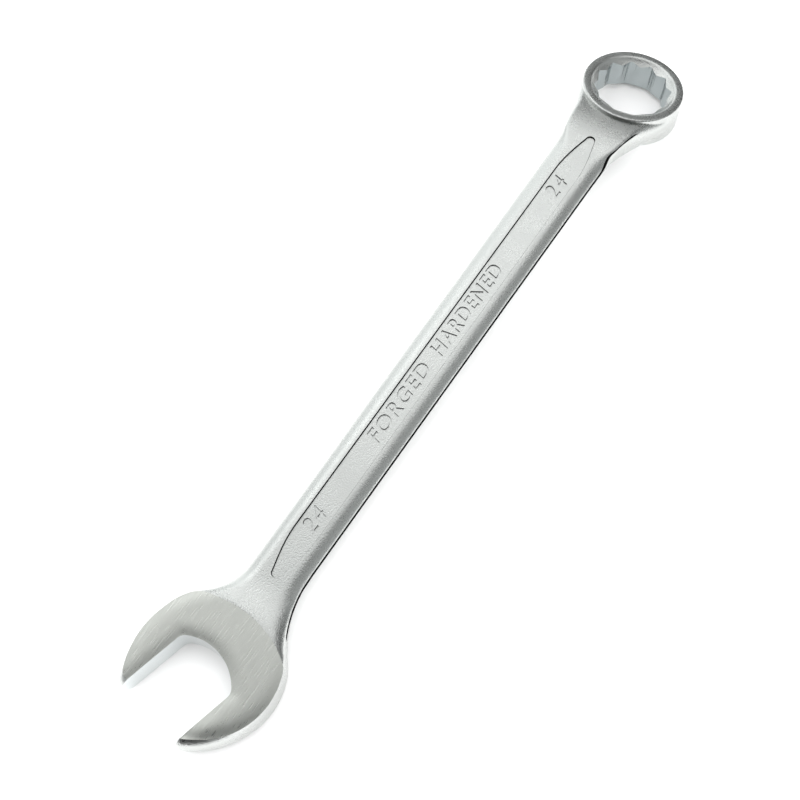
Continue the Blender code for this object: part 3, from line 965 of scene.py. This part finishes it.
def finish_forging(thing):
    thing.data.transform(TO_ROW)
    made = bmesh.new()
    made.from_mesh(thing.data)
    spare = [corner for corner in made.verts if len(corner.link_edges) == 2]
    bmesh.ops.dissolve_verts(made, verts=spare)
    bmesh.ops.triangulate(made, faces=[face for face in made.faces if len(face.verts) > 4])
    for face in made.faces:
        face.smooth = True
    for crease in made.edges:
        faces = crease.link_faces
        crease.smooth = (
            len(faces) == 2
            and faces[0].material_index == faces[1].material_index
            and faces[0].normal.angle(faces[1].normal, 0) < CRISP
        )
    open_edges = [crease for crease in made.edges if len(crease.link_faces) != 2]
    made.to_mesh(thing.data)
    made.free()
    triangles = sum(len(face.vertices) - 2 for face in thing.data.polygons)
    print("wrench:", triangles, "triangles,", len(open_edges), "open edges")


finish_forging(forging)
forging.name = "forged_wrench"
forging.data.name = "forged_wrench"
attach(forging, "root")
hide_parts("combination_wrench")

# %% [markdown]
# ## The studio
# The wrench lies on a plain white table, and the light is soft and comes from all round. A shiny object shows
# what it reflects, so the room around it is what shapes it. The World is that room: its brightness depends on the
# direction only, with a bright wall on one side, dim ones elsewhere and a dim ceiling. Two softboxes stand askew
# over the wrench, one inside the other, so their light grows from the open end to the ring. They are only seen in
# the steel. A wide ceiling light does the reverse: it lights the table and isn't seen in the steel.

# %% The table and the room
TABLE_HALF = 2.2  # metres, as everything in the studio


def white_table():
    material, tree, shader = new_material("white_table")
    place = add_node(tree, "ShaderNodeTexCoord").outputs["Object"]
    paper = add_node(tree, "ShaderNodeTexNoise", {"Vector": place, "Scale": 40.0, "Detail": 2.0})
    rough = add_node(
        tree, "ShaderNodeMapRange", {"Value": paper.outputs["Fac"], "To Min": 0.85, "To Max": 0.95}
    )
    tree.links.new(rough.outputs["Result"], shader.inputs["Roughness"])
    shader.inputs["Base Color"].default_value = linear("#F4F4F4")
    shader.inputs["Specular IOR Level"].default_value = 0.1
    made = bmesh.new()
    bmesh.ops.create_grid(made, x_segments=1, y_segments=1, size=TABLE_HALF)
    table = mesh_object("table", made, material)


# How bright the room is all round: degrees from the wrench's length, anticlockwise, and a share of the full white.
FULL_WHITE = 1.5
ROOM = (
    (-180, 0.02), (-140, 0.04), (-120, 0.18), (-100, 0.34), (-80, 0.36), (-60, 0.32), (-40, 0.22), (-20, 0.08),
    (0, 0.08), (20, 0.14), (32, 0.38), (45, 0.92), (62, 0.95), (80, 0.68), (95, 0.60), (120, 0.44), (145, 0.38),
    (160, 0.10), (180, 0.02),
)
CEILING_EDGE = (0.68, 0.88)  # sine of the heights between which the walls give way to the ceiling
CEILING = (0.06, 0.33)  # its brightness over the open end's side of the room, and over the ring's side
CEILING_RISE = (-0.4, 0.2)  # along the wrench, the directions between which it changes


def room():
    world = bpy.data.worlds.new("room")
    world.use_nodes = True
    tree = world.node_tree
    look = add_node(tree, "ShaderNodeTexCoord").outputs["Generated"]
    split = add_node(tree, "ShaderNodeSeparateXYZ", {"Vector": look})
    round_angle = add_node(tree, "ShaderNodeMath", {0: split.outputs["Y"], 1: split.outputs["X"]}, operation="ARCTAN2")
    share = add_node(
        tree, "ShaderNodeMapRange", {"Value": round_angle.outputs[0], "From Min": -math.pi, "From Max": math.pi}
    )
    walls = add_node(tree, "ShaderNodeValToRGB", {"Fac": share.outputs["Result"]})
    stops = walls.color_ramp.elements
    for _ in ROOM[2:]:
        stops.new(0.5)
    for stop, (degrees, level) in zip(stops, ROOM):
        stop.position = (degrees + 180) / 360
        stop.color = (level, level, level, 1)
    level = add_node(tree, "ShaderNodeMath", {0: walls.outputs["Color"], 1: FULL_WHITE}, operation="MULTIPLY")
    above = add_node(
        tree, "ShaderNodeMapRange",
        {"Value": split.outputs["Z"], "From Min": CEILING_EDGE[0], "From Max": CEILING_EDGE[1]},
        interpolation_type="SMOOTHSTEP",
    )
    ceiling = add_node(
        tree, "ShaderNodeMapRange",
        {
            "Value": split.outputs["X"], "From Min": CEILING_RISE[0], "From Max": CEILING_RISE[1],
            "To Min": CEILING[0], "To Max": CEILING[1],
        },
        interpolation_type="SMOOTHSTEP",
    )
    level = add_node(
        tree, "ShaderNodeMix",
        {"Factor": above.outputs["Result"], "A": level.outputs[0], "B": ceiling.outputs["Result"]},
        data_type="FLOAT",
    ).outputs["Result"]
    seen = add_node(tree, "ShaderNodeLightPath").outputs["Is Camera Ray"]
    backdrop = add_node(tree, "ShaderNodeMix", {"Factor": seen, "A": level, "B": 1.0}, data_type="FLOAT")
    tree.links.new(backdrop.outputs["Result"], tree.nodes["Background"].inputs["Strength"])
    tree.nodes["Background"].inputs["Color"].default_value = linear("#FCFFFF")
    bpy.context.scene.world = world


# %% The lights and the camera
SOFTBOX_TURN = math.radians(40.5)
SOFTBOX_SHIFT = 0.05
SOFTBOX_LENGTH = 0.8
# Nearer edge, farther edge, height and brightness.
SOFTBOXES = {"softbox": (-0.05, 0.465, 0.5, 0.78), "softbox_middle": (0.25, 0.475, 0.51, 0.48)}
CEILING_LIGHT_HEIGHT = 1.6
CEILING_LIGHT_SIZE = 7.0
CEILING_LIGHT_LEVEL = 1.8


def area_light(name, centre, size, turned, radiance, seen_in_steel):
    """A flat light that faces down. It shows in the steel or it lights the table, but not both."""
    light = bpy.data.lights.new(name, "AREA")
    light.shape = "RECTANGLE"
    light.size, light.size_y = size
    light.energy = radiance * math.pi * light.size * light.size_y
    lamp = bpy.data.objects.new(name, light)
    lamp.location = centre
    lamp.rotation_euler = (0, 0, turned)
    lamp.visible_glossy = seen_in_steel
    lamp.visible_diffuse = not seen_in_steel
    lamp.visible_camera = False
    bpy.context.scene.collection.objects.link(lamp)


def softbox(name, near, far, height, radiance):
    """A softbox that stands askew, from one distance to the other along its own direction."""
    ahead = (near + far) / 2
    c, s = math.cos(SOFTBOX_TURN), math.sin(SOFTBOX_TURN)
    centre = (ahead * c - SOFTBOX_SHIFT * s, ahead * s + SOFTBOX_SHIFT * c, height)
    area_light(name, centre, (far - near, SOFTBOX_LENGTH), SOFTBOX_TURN, radiance, True)


CAMERA_AT = (-0.183899, -0.130072, 0.448482)
CAMERA_RIGHT = (0.561480, -0.826847, -0.032627)
CAMERA_UP = (0.752883, 0.494098, 0.434782)


def camera():
    lens = bpy.data.cameras.new("camera")
    lens.sensor_width = 36
    lens.lens = 68.54
    lens.clip_start = 0.01
    eye = bpy.data.objects.new("camera", lens)
    right, up = Vector(CAMERA_RIGHT), Vector(CAMERA_UP)
    axes = Matrix((right, up, right.cross(up))).transposed()
    eye.matrix_world = Matrix.Translation(CAMERA_AT) @ axes.to_4x4()
    bpy.context.scene.collection.objects.link(eye)
    bpy.context.scene.camera = eye


white_table()
room()
for name, (near, far, height, level) in SOFTBOXES.items():
    softbox(name, near, far, height, level)
area_light(
    "ceiling", (0, 0, CEILING_LIGHT_HEIGHT), (CEILING_LIGHT_SIZE, CEILING_LIGHT_SIZE), 0.0, CEILING_LIGHT_LEVEL, False
)
camera()
bpy.context.scene.view_settings.view_transform = "Standard"
